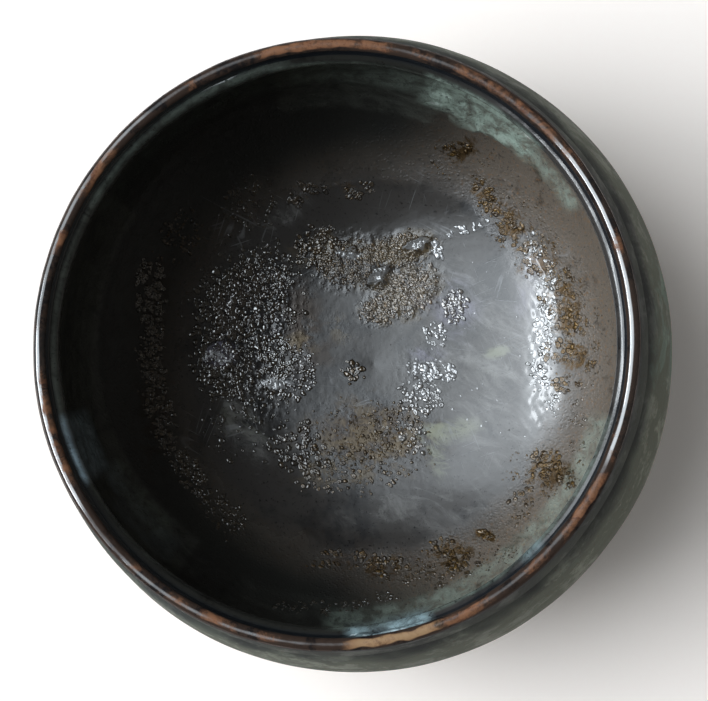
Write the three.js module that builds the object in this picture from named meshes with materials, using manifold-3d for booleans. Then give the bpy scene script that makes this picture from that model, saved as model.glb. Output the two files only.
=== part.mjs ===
// A wheel-thrown stoneware tea bowl: clay body, luted foot ring, glaze coats, glaze runs and fused lumps.
// Millimetres, +Z up, origin at the middle of the face that the foot stands on.
import * as THREE from 'three';
import { mergeVertices } from 'three/addons/utils/BufferGeometryUtils.js';
import Module from 'manifold-3d';

const wasm = await Module();
wasm.setup();

// Overall sizes, over the glaze.
const bowlHeight = 72;
const mouthRadius = 57; // to the crest of the lip

// Bare clay, outside. Heights are from the foot's face, drops are from the clay's own crest.
const bellyRadius = 63;
const bellyHeight = 43;
const shoulderRadius = 60.4;
const shoulderDrop = 11.2;
const neckRadius = 57;
const neckDrop = 3.9;
const lowerWallRadius = 59;
const lowerWallHeight = 27.5;
const heelRadius = 47.5;
const heelHeight = 15.2;
const turnedRadius = 36;
const turnedHeight = 9.6;

// Bare clay, inside. The walls set the belly and shoulder from the outside.
const bellyWall = 3.4;
const innerBellyRise = 5; // the inside is widest this far above the outside's belly
const flankInset = 1; // in from the widest place inside
const flankHeight = 38;
const shoulderWall = 3.6;
const lipRadius = 0.65;
const ridgeInset = 2.4; // the throwing ridge under the lip, in from the crest
const ridgeDrop = 3.4;
const channelInset = 1.2; // the hollow between lip and ridge
const channelDrop = 1.9;
const kneeRadius = 54.2;
const kneeHeight = 30;
const wallFootRadius = 48;
const wallFootHeight = 23.4;
const floorEdgeRadius = 40;
const floorEdgeHeight = 18.9;
const poolRadius = 25;
const poolHeight = 14.6;
const floorHeight = 13.2;

// Foot ring.
const footHeight = 6;
const footTopRadius = 26.5;
const footBottomRadius = 25.5;
const footWall = 4.6;
const footChamfer = 0.9;
const footSeatMargin = 0.8; // flat clay left beyond the ring, for the luting slip

// Glaze. A coat follows the clay at the thickness of the fired bond.
const coatGap = 0.3;
const coatThickness = 0.5;
const runThickness = 0.4;
const lipCoatReach = 1.5; // along the section, to each side of the lip's crest
const glazeLineHeight = 13;

// How finely the round forms are divided.
const turnSegments = 48;
const insideSteps = 20;
const outsideSteps = 14;
const lipSteps = 4;
const lumpFacets = { around: 16, up: 10 };
const runFacets = { around: 20, up: 12 };
const mergeTolerance = 1e-4;

// Second glaze that ran and pooled: bearing in degrees, height on the wall, and half sizes.
const glazeRuns = [
  { name: 'ash_run_right', bearing: 62, height: 33.5, halfLength: 13, halfWidth: 5.5 },
  { name: 'ash_run_left', bearing: 198, height: 42, halfLength: 8, halfWidth: 6 },
  { name: 'ash_run_near', bearing: 282, dropFromCrest: 2.6, halfLength: 8.5, halfWidth: 1.5 },
];
const runUnevenness = 0.1;
const runBandMargin = 4; // the coat that a run is cut from reaches this far past it
const runCutDepth = 5; // half the depth of the shape that cuts it

// Lumps of glaze and grit fused to the pool, placed by their middle.
const glazeLumps = [
  { name: 'glaze_lump_long', x: 1.6, y: 18.6, length: 10, width: 5.4, height: 2.1, turn: 42 },
  { name: 'glaze_lump_bright', x: 9.8, y: 25, length: 10, width: 5, height: 2, turn: 18 },
  { name: 'glaze_lump_small', x: -4.6, y: 24.2, length: 4.2, width: 3.4, height: 1.4, turn: 0 },
];
const lumpUnevenness = 0.09;

// The uneven skin of a lump or run is two waves round its girth.
const skinWaves = [
  { count: 3, phase: 0.7, share: 1 },
  { count: 5, phase: 2.1, share: 0.6 },
];

const clayCrest = bowlHeight - coatGap - coatThickness;
const finishedOffset = coatGap + coatThickness;

// The bare clay's section runs from the middle of the floor up the inside, over the lip and down to the foot.
function claySection() {
  const lipMiddle = clayCrest - lipRadius;
  const inside = new THREE.SplineCurve([
    new THREE.Vector2(0, floorHeight),
    new THREE.Vector2(poolRadius, poolHeight),
    new THREE.Vector2(floorEdgeRadius, floorEdgeHeight),
    new THREE.Vector2(wallFootRadius, wallFootHeight),
    new THREE.Vector2(kneeRadius, kneeHeight),
    new THREE.Vector2(bellyRadius - bellyWall - flankInset, flankHeight),
    new THREE.Vector2(bellyRadius - bellyWall, bellyHeight + innerBellyRise),
    new THREE.Vector2(shoulderRadius - shoulderWall, clayCrest - shoulderDrop),
    new THREE.Vector2(mouthRadius - ridgeInset, clayCrest - ridgeDrop),
    new THREE.Vector2(mouthRadius - channelInset, clayCrest - channelDrop),
    new THREE.Vector2(mouthRadius - lipRadius, lipMiddle),
  ]).getPoints(insideSteps);
  const lip = new THREE.EllipseCurve(mouthRadius, lipMiddle, lipRadius, lipRadius, Math.PI, 0, true)
    .getPoints(lipSteps);
  const outside = new THREE.SplineCurve([
    new THREE.Vector2(mouthRadius + lipRadius, lipMiddle),
    new THREE.Vector2(neckRadius, clayCrest - neckDrop),
    new THREE.Vector2(shoulderRadius, clayCrest - shoulderDrop),
    new THREE.Vector2(bellyRadius, bellyHeight),
    new THREE.Vector2(lowerWallRadius, lowerWallHeight),
    new THREE.Vector2(heelRadius, heelHeight),
    new THREE.Vector2(turnedRadius, turnedHeight),
    new THREE.Vector2(footTopRadius + footSeatMargin, footHeight),
  ]).getPoints(outsideSteps);
  return { inside, lip, outside, all: [...inside, ...lip.slice(1), ...outside.slice(1)] };
}

// A station holds a place on the section, the way to the air there, and its distance along the section.
function makeStations(points) {
  let travelled = 0;
  return points.map((point, i) => {
    const before = i > 0 ? points[i - 1] : new THREE.Vector2(-points[1].x, points[1].y);
    const after = points[Math.min(i + 1, points.length - 1)];
    const along = after.clone().sub(before).normalize();
    travelled += i > 0 ? point.distanceTo(points[i - 1]) : 0;
    return { point, out: new THREE.Vector2(-along.y, along.x), travelled };
  });
}

function stationBetween(a, b, share) {
  return {
    point: a.point.clone().lerp(b.point, share),
    out: a.out.clone().lerp(b.out, share).normalize(),
    travelled: THREE.MathUtils.lerp(a.travelled, b.travelled, share),
  };
}

function stationAt(stations, travelled) {
  const next = Math.max(1, stations.findIndex((station) => station.travelled >= travelled));
  const a = stations[next - 1];
  const b = stations[next];
  return stationBetween(a, b, (travelled - a.travelled) / (b.travelled - a.travelled));
}

function stretch(stations, from, to) {
  const middle = stations.filter((station) => station.travelled > from && station.travelled < to);
  return [stationAt(stations, from), ...middle, stationAt(stations, to)];
}

function offsetPoints(stations, distance) {
  return stations.map((station) => station.point.clone().addScaledVector(station.out, distance));
}

// Turns a section that is closed, or that starts and ends on the axis, into a solid about Z.
function turned(profile) {
  const upward = THREE.ShapeUtils.area(profile) > 0 ? profile : [...profile].reverse();
  return new THREE.LatheGeometry(upward, turnSegments).rotateX(Math.PI / 2);
}

function closed(profile) {
  return [...profile, profile[0].clone()];
}

function asSolid(geometry) {
  const bare = geometry.clone();
  bare.deleteAttribute('normal');
  bare.deleteAttribute('uv');
  const merged = mergeVertices(bare, mergeTolerance);
  const corners = merged.index.array;
  const triVerts = [];
  for (let i = 0; i < corners.length; i += 3) {
    const [a, b, c] = [corners[i], corners[i + 1], corners[i + 2]];
    if (a !== b && b !== c && c !== a) triVerts.push(a, b, c);
  }
  return new wasm.Manifold(new wasm.Mesh({
    numProp: 3,
    vertProperties: new Float32Array(merged.attributes.position.array),
    triVerts: new Uint32Array(triVerts),
  }));
}

function asGeometry(solid) {
  const mesh = solid.getMesh();
  const geometry = new THREE.BufferGeometry();
  geometry.setAttribute('position', new THREE.BufferAttribute(new Float32Array(mesh.vertProperties), 3));
  geometry.setIndex(new THREE.BufferAttribute(new Uint32Array(mesh.triVerts), 1));
  geometry.computeVertexNormals();
  return geometry;
}

// A ball with a slightly uneven skin, one across, that lumps and runs are stretched from.
function unevenBall(facets, unevenness) {
  const ball = new THREE.SphereGeometry(1, facets.around, facets.up).rotateX(Math.PI / 2);
  const place = ball.attributes.position;
  const spot = new THREE.Vector3();
  for (let i = 0; i < place.count; i += 1) {
    spot.fromBufferAttribute(place, i);
    const bearing = Math.atan2(spot.y, spot.x);
    const girth = Math.hypot(spot.x, spot.y);
    const wave = skinWaves.reduce(
      (sum, { count, phase, share }) => sum + share * Math.sin(count * bearing + phase),
      0,
    );
    const swell = 1 + unevenness * girth * wave;
    place.setXYZ(i, spot.x * swell, spot.y * swell, spot.z);
  }
  return ball;
}

const section = claySection();
const stations = makeStations(section.all);
const insideCount = section.inside.length;
const lipStart = stations[insideCount - 1].travelled;
const lipEnd = stations[insideCount + section.lip.length - 2].travelled;
const crestAt = (lipStart + lipEnd) / 2;
const insideStations = stations.slice(0, insideCount);
const outsideStations = stations.slice(insideCount + section.lip.length - 2);

// Distance along the section where the outside crosses a height.
function outsideAtHeight(height) {
  const next = outsideStations.findIndex((station) => station.point.y <= height);
  const a = outsideStations[next - 1];
  const b = outsideStations[next];
  const share = (a.point.y - height) / (a.point.y - b.point.y);
  return THREE.MathUtils.lerp(a.travelled, b.travelled, share);
}

function insideAtHeight(height) {
  const next = insideStations.findIndex((station) => station.point.y >= height);
  const a = insideStations[next - 1];
  const b = insideStations[next];
  return stationBetween(a, b, (height - a.point.y) / (b.point.y - a.point.y));
}

function insideAtRadius(radius) {
  const next = insideStations.findIndex((station) => station.point.x >= radius);
  const a = insideStations[next - 1];
  const b = insideStations[next];
  return stationBetween(a, b, (radius - a.point.x) / (b.point.x - a.point.x));
}

function clayBody() {
  return turned([...section.all, new THREE.Vector2(0, footHeight)]);
}

function footRing() {
  const inner = footBottomRadius - footWall;
  return turned(closed([
    new THREE.Vector2(inner, footChamfer),
    new THREE.Vector2(inner + footChamfer, 0),
    new THREE.Vector2(footBottomRadius - footChamfer, 0),
    new THREE.Vector2(footBottomRadius, footChamfer),
    new THREE.Vector2(footTopRadius, footHeight),
    new THREE.Vector2(inner, footHeight),
  ]));
}

function coat(from, to) {
  const part = stretch(stations, from, to);
  const near = offsetPoints(part, coatGap);
  const far = offsetPoints(part, finishedOffset).reverse();
  const profile = [...near, ...far];
  return turned(from === 0 ? profile : closed(profile));
}

// Everything under the finished inner surface, and a gap above it, out to the floor's edge.
function bedUnderLumps() {
  const part = stretch(stations, 0, insideAtRadius(floorEdgeRadius).travelled);
  const top = offsetPoints(part, finishedOffset + coatGap);
  const rimOfBed = top[top.length - 1];
  return asSolid(turned([...top, new THREE.Vector2(rimOfBed.x, 0), new THREE.Vector2(0, 0)]));
}

function glazeLump(lump, bed) {
  const seat = insideAtRadius(Math.hypot(lump.x, lump.y));
  const surface = seat.point.clone().addScaledVector(seat.out, finishedOffset + coatGap);
  const ball = unevenBall(lumpFacets, lumpUnevenness)
    .scale(lump.length / 2, lump.width / 2, lump.height)
    .rotateZ(THREE.MathUtils.degToRad(lump.turn))
    .translate(lump.x, lump.y, surface.y);
  return asGeometry(asSolid(ball).subtract(bed));
}

function glazeRun(run) {
  const seat = run.dropFromCrest === undefined
    ? insideAtHeight(run.height)
    : insideAtHeight(bowlHeight - run.dropFromCrest);
  const near = finishedOffset + coatGap;
  const far = near + runThickness;
  const reach = run.halfWidth + runBandMargin;
  const from = seat.travelled - reach;
  const to = Math.min(seat.travelled + reach, crestAt - lipCoatReach);
  const part = stretch(stations, from, to);
  const band = turned(closed([...offsetPoints(part, near), ...offsetPoints(part, far).reverse()]));
  const bearing = THREE.MathUtils.degToRad(run.bearing);
  const middle = seat.point.clone().addScaledVector(seat.out, (near + far) / 2);
  const across = new THREE.Vector3(-Math.sin(bearing), Math.cos(bearing), 0);
  const outward = new THREE.Vector3(
    seat.out.x * Math.cos(bearing),
    seat.out.x * Math.sin(bearing),
    seat.out.y,
  );
  const along = new THREE.Vector3().crossVectors(outward, across);
  const placing = new THREE.Matrix4().makeBasis(across, along, outward).setPosition(
    middle.x * Math.cos(bearing),
    middle.x * Math.sin(bearing),
    middle.y,
  );
  const blob = unevenBall(runFacets, runUnevenness)
    .scale(run.halfLength, run.halfWidth, runCutDepth)
    .applyMatrix4(placing);
  return asGeometry(asSolid(band).intersect(asSolid(blob)));
}

const stoneware = { color: 0x5a4636, roughness: 0.85, metalness: 0 };
const ironGlaze = { color: 0x2c2a29, roughness: 0.22, metalness: 0 };
const lipGlaze = { color: 0x7a4a32, roughness: 0.28, metalness: 0.1 };
const ashGlaze = { color: 0x6f8f93, roughness: 0.3, metalness: 0 };
const gritGlaze = { color: 0x5b4c33, roughness: 0.3, metalness: 0 };

function piece(name, geometry, finish) {
  const mesh = new THREE.Mesh(geometry, new THREE.MeshStandardMaterial(finish));
  mesh.name = name;
  return mesh;
}

const bowl = new THREE.Group();
const halfGap = coatGap / 2;
bowl.add(
  piece('clay_body', clayBody(), stoneware),
  piece('foot_ring', footRing(), stoneware),
  piece('inner_glaze', coat(0, crestAt - lipCoatReach - halfGap), ironGlaze),
  piece('lip_glaze', coat(crestAt - lipCoatReach + halfGap, crestAt + lipCoatReach - halfGap), lipGlaze),
  piece('outer_glaze', coat(crestAt + lipCoatReach + halfGap, outsideAtHeight(glazeLineHeight)), ironGlaze),
);
const bed = bedUnderLumps();
for (const lump of glazeLumps) bowl.add(piece(lump.name, glazeLump(lump, bed), gritGlaze));
for (const run of glazeRuns) bowl.add(piece(run.name, glazeRun(run), ashGlaze));

export default bowl;
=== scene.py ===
import math

import bpy
import numpy as np
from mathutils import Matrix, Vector


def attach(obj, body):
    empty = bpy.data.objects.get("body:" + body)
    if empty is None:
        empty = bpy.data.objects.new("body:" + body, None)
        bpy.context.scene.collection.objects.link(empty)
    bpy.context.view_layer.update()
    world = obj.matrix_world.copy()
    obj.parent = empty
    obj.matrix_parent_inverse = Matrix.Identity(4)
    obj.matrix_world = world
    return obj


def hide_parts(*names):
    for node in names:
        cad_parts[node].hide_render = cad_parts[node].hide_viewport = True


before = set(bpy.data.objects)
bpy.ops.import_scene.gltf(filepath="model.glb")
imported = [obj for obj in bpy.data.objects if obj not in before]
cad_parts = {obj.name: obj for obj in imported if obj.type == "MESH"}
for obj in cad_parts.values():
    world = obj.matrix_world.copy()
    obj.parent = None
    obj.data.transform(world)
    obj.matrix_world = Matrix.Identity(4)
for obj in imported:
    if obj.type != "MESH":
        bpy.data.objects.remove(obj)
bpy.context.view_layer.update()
print("frame loaded")

mm = 0.001  # sizes below are millimetres, and Blender's are metres

# The camera of the photograph: how it stands over the mouth, and its picture in pixels.
view = {
    "width": 708,
    "height": 701,
    "tilt": 10,  # degrees off straight down
    "bearing": -28,  # the side it leans to
    "distance": 400,  # from the mouth
    "aim": (4.67, -1.86),  # the point of the mouth in the middle of the picture
    "pixelsPerMm": 5.31,  # at the mouth
    "lipMiddle": (336, 344.6),  # pixels
    "sensor": 36,
}

# The bare clay's section, from the middle of the floor over the lip to the foot: radius and height.
form = {
    "inside": [(0, 13.2), (25, 14.6), (40, 18.9), (48, 23.4), (54.2, 30), (58.6, 38), (59.6, 48),
               (56.8, 60), (54.6, 67.8), (55.8, 69.3), (56.35, 70.55)],
    "lipMiddle": (57, 70.55),
    "lipRadius": 0.65,
    "outside": [(57.65, 70.55), (57, 67.3), (60.4, 60), (63, 43), (59, 27.5), (47.5, 15.2),
                (36, 9.6), (27.3, 6)],
    "skin": 0.8,  # the glaze's face over the clay
    "coat": 0.5,  # the glaze's own thickness
    "lipReach": 1.5,  # the lip's coat, to each side of the crest
    "floorEdge": 41.5,  # radius where the floor's glaze is taken over by the wall's
    "glazeLine": 13.4,  # height where the outer glaze stops
}


def splineThrough(points, steps=60):
    # a smooth line through every point, with the tangents of its neighbours
    p = np.array([points[0]] + list(points) + [points[-1]], float)
    t = np.linspace(0, 1, steps, endpoint=False)[:, None]
    pieces = []
    for a, b, c, d in zip(p, p[1:], p[2:], p[3:]):
        v0, v1 = (c - a) / 2, (d - b) / 2
        pieces.append((2 * b - 2 * c + v0 + v1) * t**3 + (3 * c - 3 * b - 2 * v0 - v1) * t**2 + v0 * t + b)
    return np.concatenate(pieces + [p[-1:]])


def makeSection():
    # the clay's line with its outward directions, and the distance along the glaze over it
    middle, r = np.array(form["lipMiddle"]), form["lipRadius"]
    turn = np.linspace(math.pi, 0, 80)[1:-1]
    lip = middle + r * np.stack([np.cos(turn), np.sin(turn)], 1)
    line = np.concatenate([splineThrough(form["inside"]), lip, splineThrough(form["outside"])])
    along = np.gradient(line, axis=0)
    along[0] = (1, 0)
    along /= np.linalg.norm(along, axis=1)[:, None]
    out = np.stack([-along[:, 1], along[:, 0]], 1)
    skin = line + out * form["skin"]
    length = np.concatenate([[0], np.cumsum(np.linalg.norm(np.diff(skin, axis=0), axis=1))])
    return {"clay": line, "out": out, "skin": skin, "length": length}


section = makeSection()
crestIndex = int(np.argmax(section["skin"][:, 1]))
crestLength = section["length"][crestIndex]
insideSkin, insideLengths = section["skin"][:crestIndex], section["length"][:crestIndex]


def sectionAt(length, kind):
    return np.stack([np.interp(length, section["length"], section[kind][:, i]) for i in (0, 1)], -1)


def lengthAtHeight(height):
    # on the outside
    heights = section["skin"][crestIndex:, 1]
    return np.interp(-np.asarray(height, float), -heights, section["length"][crestIndex:])


def lengthAtRadius(radius):
    # on the floor
    end = int(np.argmax(insideSkin[:, 0]))
    return np.interp(radius, insideSkin[:end, 0], insideLengths[:end])


def turned(spot, bearing):
    # a point or a direction of the section, at a bearing round the bowl
    return np.stack([spot[..., 0] * np.cos(bearing), spot[..., 0] * np.sin(bearing), spot[..., 1]], -1)


def onSection(length, bearing, kind="skin"):
    return turned(sectionAt(length, kind), bearing)


def facing(length, bearing):
    out = sectionAt(length, "out")
    return turned(out / np.linalg.norm(out, axis=-1, keepdims=True), bearing)


def evenTurns(count):
    return np.arange(count) * 2 * math.pi / count


# The photograph's pixels and the bowl


def cosSin(degrees):
    return math.cos(math.radians(degrees)), math.sin(math.radians(degrees))


def wayTo(bearing, elevation):
    (x, y), (level, up) = cosSin(bearing), cosSin(elevation)
    return Vector((level * x, level * y, up))


back = wayTo(view["bearing"], 90 - view["tilt"])
cameraSpin = Vector((0, 0, 1)).rotation_difference(back)
eye = Vector((*view["aim"], section["skin"][crestIndex, 1])) + back * view["distance"]
eyePoint = np.array(eye)
cameraAxes = np.array(cameraSpin.to_matrix())
focalPixels = view["pixelsPerMm"] * view["distance"]


def pixelsOf(points):
    seen = (points - eyePoint) @ cameraAxes
    x = view["width"] / 2 + focalPixels * seen[..., 0] / -seen[..., 2]
    y = view["height"] / 2 - focalPixels * seen[..., 1] / -seen[..., 2]
    return np.stack([x, y], -1)


def bearingAt(pixels):
    # degrees round the lip's middle in the photograph, and the distance from it
    across, up = pixels[..., 0] - view["lipMiddle"][0], view["lipMiddle"][1] - pixels[..., 1]
    return np.degrees(np.arctan2(up, across)) % 360, np.hypot(across, up)


def degreesOff(bearing, middle):
    return np.abs((bearing - middle + 180) % 360 - 180)


def lengthsOf(points):
    # where points near the inner surface lie along the section
    radius, height = np.hypot(points[:, 0], points[:, 1]), points[:, 2]
    byHeight = np.interp(height, insideSkin[:, 1], insideLengths)
    return np.where((radius < 45) & (height < 40), lengthAtRadius(radius), byHeight)


def insideAtPixels(pixels):
    # follows each pixel's ray down into the bowl, and gives its distance along the section and its bearing
    ray = np.stack([pixels[:, 0] - view["width"] / 2, view["height"] / 2 - pixels[:, 1],
                    np.full(len(pixels), -focalPixels)], 1) @ cameraAxes.T
    heights = np.arange(insideSkin[-1, 1], insideSkin[0, 1], -0.1)
    wall = np.interp(heights, insideSkin[:, 1], insideSkin[:, 0])
    steps = (heights[None, :] - eyePoint[2]) / ray[:, 2:3]
    x = eyePoint[0] + steps * ray[:, 0:1]
    y = eyePoint[1] + steps * ray[:, 1:2]
    past = np.hypot(x, y) - wall[None, :]
    rows = np.arange(len(pixels))
    hit = np.maximum(np.argmax(past >= 0, axis=1), 1)
    share = past[rows, hit - 1] / (past[rows, hit - 1] - past[rows, hit])
    met = [line[rows, hit - 1] + (line[rows, hit] - line[rows, hit - 1]) * share
           for line in (x, y, np.broadcast_to(heights, x.shape))]
    return lengthsOf(np.stack(met, 1)), np.arctan2(met[1], met[0])


# Marks on the glaze, placed in the photograph: middle x and y, half width and height, turn, strength.
ovalMarks = {
    "haze": [(285, 215, 40, 13, 35, 0.6), (244, 240, 26, 10, 50, 0.35), (246, 438, 38, 17, -42, 0.7),
             (548, 285, 14, 12, 0, 0.4), (558, 315, 14, 22, 0, 0.5), (562, 372, 16, 18, 0, 0.35),
             (215, 355, 16, 15, 0, 0.8), (238, 412, 22, 10, -30, 0.7), (455, 290, 44, 50, 60, 0.55),
             (490, 360, 54, 80, 0, 0.65), (392, 506, 62, 18, 10, 0.6), (448, 508, 46, 24, 14, 0.5),
             (440, 350, 30, 50, 20, 0.6), (500, 440, 44, 34, 40, 0.5), (365, 345, 40, 34, 0, 0.1)],
    "olive": [(447, 430, 36, 12, 8, 0.7), (438, 455, 12, 26, 0, 0.6), (497, 352, 15, 7, 10, 0.9),
              (480, 375, 24, 10, -10, 0.3), (240, 422, 32, 16, -40, 0.4)],
    "lilac": [(455, 312, 24, 34, 0, 0.6), (427, 355, 18, 10, 0, 0.6), (422, 300, 20, 20, 0, 0.4),
              (220, 356, 15, 12, 20, 1.4), (530, 290, 14, 40, -10, 0.4)],
    "gold": [(352, 262, 34, 24, 10, 0.5), (398, 252, 36, 16, 15, 0.9), (405, 290, 34, 26, 20, 0.8),
             (378, 312, 20, 14, 0, 0.7), (320, 250, 26, 18, 0, 0.5), (370, 440, 62, 38, 0, 0.4),
             (340, 470, 40, 22, 0, 0.45), (300, 345, 16, 12, 0, 0.5), (340, 330, 10, 20, 30, 0.4)],
    "rust": [(155, 300, 18, 50, 0, 0.5), (155, 410, 20, 60, 0, 0.6), (370, 560, 60, 22, 0, 0.5),
             (310, 545, 40, 30, 0, 0.35), (335, 470, 60, 28, 0, 0.4), (370, 435, 64, 36, 0, 0.8),
             (316, 352, 26, 20, 0, 0.6), (304, 322, 20, 46, 8, 0.8)],
    "freckle": [(460, 150, 24, 14, 20, 0.9), (484, 193, 20, 13, -20, 0.8), (508, 220, 30, 18, -40, 0.9),
                (540, 258, 26, 24, 0, 0.8), (566, 305, 22, 44, 0, 0.9), (575, 355, 22, 20, 0, 0.9),
                (550, 470, 30, 22, 0, 0.9), (486, 535, 11, 5, -20, 1.6), (452, 553, 30, 18, 20, 0.9),
                (383, 566, 34, 14, 0, 0.8), (345, 190, 26, 12, 0, 0.6), (300, 192, 20, 12, 0, 0.5),
                (340, 560, 34, 16, 0, 0.6), (590, 400, 24, 70, 0, 0.4), (520, 505, 30, 20, 35, 0.5)],
    "ripple": [(543, 330, 13, 95, -6, 1), (536, 256, 10, 20, -20, 1), (551, 398, 9, 20, 6, 0.5)],
    "gravel": [(352, 262, 34, 22, 10, 0.8), (398, 252, 36, 16, 15, 1), (405, 290, 34, 26, 20, 1),
               (378, 312, 20, 14, 0, 0.8), (320, 250, 22, 14, 0, 0.5)],
    "worn": [(470, 300, 90, 110, 0, 1), (420, 400, 90, 70, 0, 0.8), (250, 240, 60, 50, 0, 0.6),
             (240, 440, 50, 40, 0, 0.6)],
    "pebble": [(352, 262, 32, 24, 10, 1), (398, 252, 34, 15, 15, 1), (405, 290, 32, 24, 20, 1),
               (378, 312, 18, 12, 0, 0.9), (245, 330, 50, 75, 0, 0.8), (452, 306, 13, 16, 0, 0.5),
               (425, 375, 24, 28, 30, 0.2), (370, 440, 70, 45, 0, 0.12)],
}

# Bands below the lip, about the lip's middle in the photograph: bearings, radii in pixels, strength.
bandMarks = {
    "teal": [(44, 58, 264, 285, 0.9), (57, 71, 258, 285, 0.9), (30, 47, 267, 281, 0.45),
             (69, 100, 264, 282, 0.3), (208, 228, 240, 262, 0.25), (268, 300, 266, 284, 0.4),
             (300, 345, 264, 284, 0.3), (100, 150, 262, 290, 0.12)],
    "veil": [(66, 104, 236, 284, 0.8), (100, 150, 240, 290, 0.4), (146, 200, 236, 288, 0.9),
             (200, 236, 236, 284, 0.9), (236, 300, 250, 284, 0.5)],
    "sky": [(272.5, 277, 281, 293, 0.8), (280, 289, 279, 293, 1), (276, 282, 279, 290, 0.5),
            (311, 316, 279, 290, 0.5)],
    "slate": [(195, 208.5, 258, 287, 0.9), (208, 215, 250, 266, 0.35), (215, 232, 250, 276, 0.18)],
}


def ovalMask(pixels, x, y, halfWidth, halfHeight, turn, strength):
    across, up = pixels[..., 0] - x, y - pixels[..., 1]
    c, s = cosSin(turn)
    reach = np.hypot((across * c + up * s) / halfWidth, (up * c - across * s) / halfHeight)
    return strength * np.clip(1.5 - reach, 0, 1)


def bandMask(pixels, low, high, inner, outer, strength):
    bearing, radius = bearingAt(pixels)
    ends = np.clip(((high - low) / 2 - degreesOff(bearing, (low + high) / 2)) / 2.5 + 0.5, 0, 1)
    sides = np.clip((radius - inner) / 8 + 0.5, 0, 1) * np.clip((outer - radius) / 4 + 0.5, 0, 1)
    return strength * ends * sides


def maskAt(points, name):
    pixels = pixelsOf(points)
    kind, masks = (ovalMask, ovalMarks) if name in ovalMarks else (bandMask, bandMarks)
    return np.maximum.reduce([kind(pixels, *row) for row in masks[name]])


def smoothWaves(points, wavelength, seed, count=14):
    # a soft uneven field: many sine waves that run in mixed directions
    rng = np.random.default_rng(seed)
    ways = rng.normal(size=(count, 3))
    ways /= np.linalg.norm(ways, axis=1)[:, None]
    pitch = 2 * math.pi / (wavelength * rng.uniform(0.75, 1.35, count))
    phase = points @ (ways * pitch[:, None]).T + rng.uniform(0, 6.28, count)
    return np.sin(phase).sum(-1) / math.sqrt(count / 2)


def ramp(value, low, high):
    t = np.clip((value - low) / (high - low), 0, 1)
    return t * t * (3 - 2 * t)


# How far the fired surface strays from the turned section. Wavers have a height, the length of their
# waves, a seed and the number of waves that they are mixed from.
wavers = {
    "hand": (0.09, 38, 5),
    "short": (0.018, 11, 6),
    "orangePeel": (0.002, 2.6, 7),
    "pebble": (0.05, 1.7, 13, 20),
    "ripple": (0.022, 1.9, 15, 20),
}
relief = {
    "throwingRings": 0.045,
    "ringPitch": 4.4,
    "ringsFrom": (52, 60),  # along the section from the floor's middle, where the rings begin
    "ringsUpTo": (5, 12),  # below the lip
    "floorLine": 0.03,  # the faint ring at the edge of the floor
    "floorLineRadius": 39,
    "gravelBed": 0.12,
    "lip": 0.06,
    "lipFade": 6,  # over this far to each side of the crest, the lip's own waver takes over
    "outsideRings": 0.006,
    "outsidePitch": 3.1,
}


def waver(points, name, share=1):
    height, *waves = wavers[name]
    return share * height * smoothWaves(points, *waves)


def reliefAt(points, lengths):
    inside = lengths < crestLength
    edge = np.clip(np.abs(lengths - crestLength) / relief["lipFade"], 0, 1)
    even = (waver(points, "hand") + waver(points, "short") + waver(points, "orangePeel")) * edge
    lip = relief["lip"] * (smoothWaves(points, 16, 21) * 0.6 + smoothWaves(points, 4.5, 22) * 0.3)
    lip = lip * (1 - edge)
    wall = ramp(lengths, *relief["ringsFrom"]) * ramp(crestLength - lengths, *relief["ringsUpTo"])
    rings = np.sin(lengths * 2 * math.pi / relief["ringPitch"] + smoothWaves(points, 60, 9))
    radius = np.hypot(points[..., 0], points[..., 1])
    off = radius - relief["floorLineRadius"] - 0.5 * smoothWaves(points, 30, 4)
    line = np.exp(-(off / 0.5) ** 2) * (points[..., 2] < 40)
    line = line * relief["floorLine"] * ramp(points[..., 1] - points[..., 0], 20, 45)
    bed = np.where(inside & (radius < 30), maskAt(points, "gravel"), 0)
    bed = relief["gravelBed"] * ramp(bed + 0.12 * smoothWaves(points, 5, 12), 0.35, 0.75)
    pebbles = sum(waver(points, name, np.where(inside, maskAt(points, name), 0))
                  for name in ("pebble", "ripple"))
    inner = even + wall * rings * relief["throwingRings"] + line + bed + pebbles + lip
    rings = np.sin(lengths * 2 * math.pi / relief["outsidePitch"] + 1.3 * smoothWaves(points, 50, 31))
    scored = smoothWaves(points * np.array([0.08, 0.08, 1]), 1.3, 32, 20)
    outer = even + relief["outsideRings"] * edge * (0.5 * rings + 0.35 * scored) + lip
    return np.where(inside, inner, outer)


# Meshes

fullRound = 768  # points round a ring where the glaze shows
spacing = {  # from ring to ring
    "floor": 0.26, "wall": 0.5, "lip": 0.125, "outside": 0.68, "clay": 0.5, "hollow": 0.45, "foot": 0.28,
}


def bridge(first, count, nextFirst, nextCount):
    # faces from one ring to the next, which has as many points, or twice or half as many
    k = np.arange(min(count, nextCount))
    after = (k + 1) % len(k)
    if count == nextCount:
        return [np.stack([first + k, nextFirst + k, nextFirst + after, first + after], 1)], []
    wideFirst, narrowFirst = (nextFirst, first) if nextCount > count else (first, nextFirst)
    a, b = narrowFirst + k, narrowFirst + after
    c, d, e = wideFirst + 2 * k, wideFirst + 2 * k + 1, wideFirst + (2 * k + 2) % (2 * len(k))
    threes = [np.stack([a, c, d], 1), np.stack([a, d, b], 1), np.stack([b, d, e], 1)]
    if nextCount < count:
        threes = [t[:, ::-1] for t in threes]
    return [], threes


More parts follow.
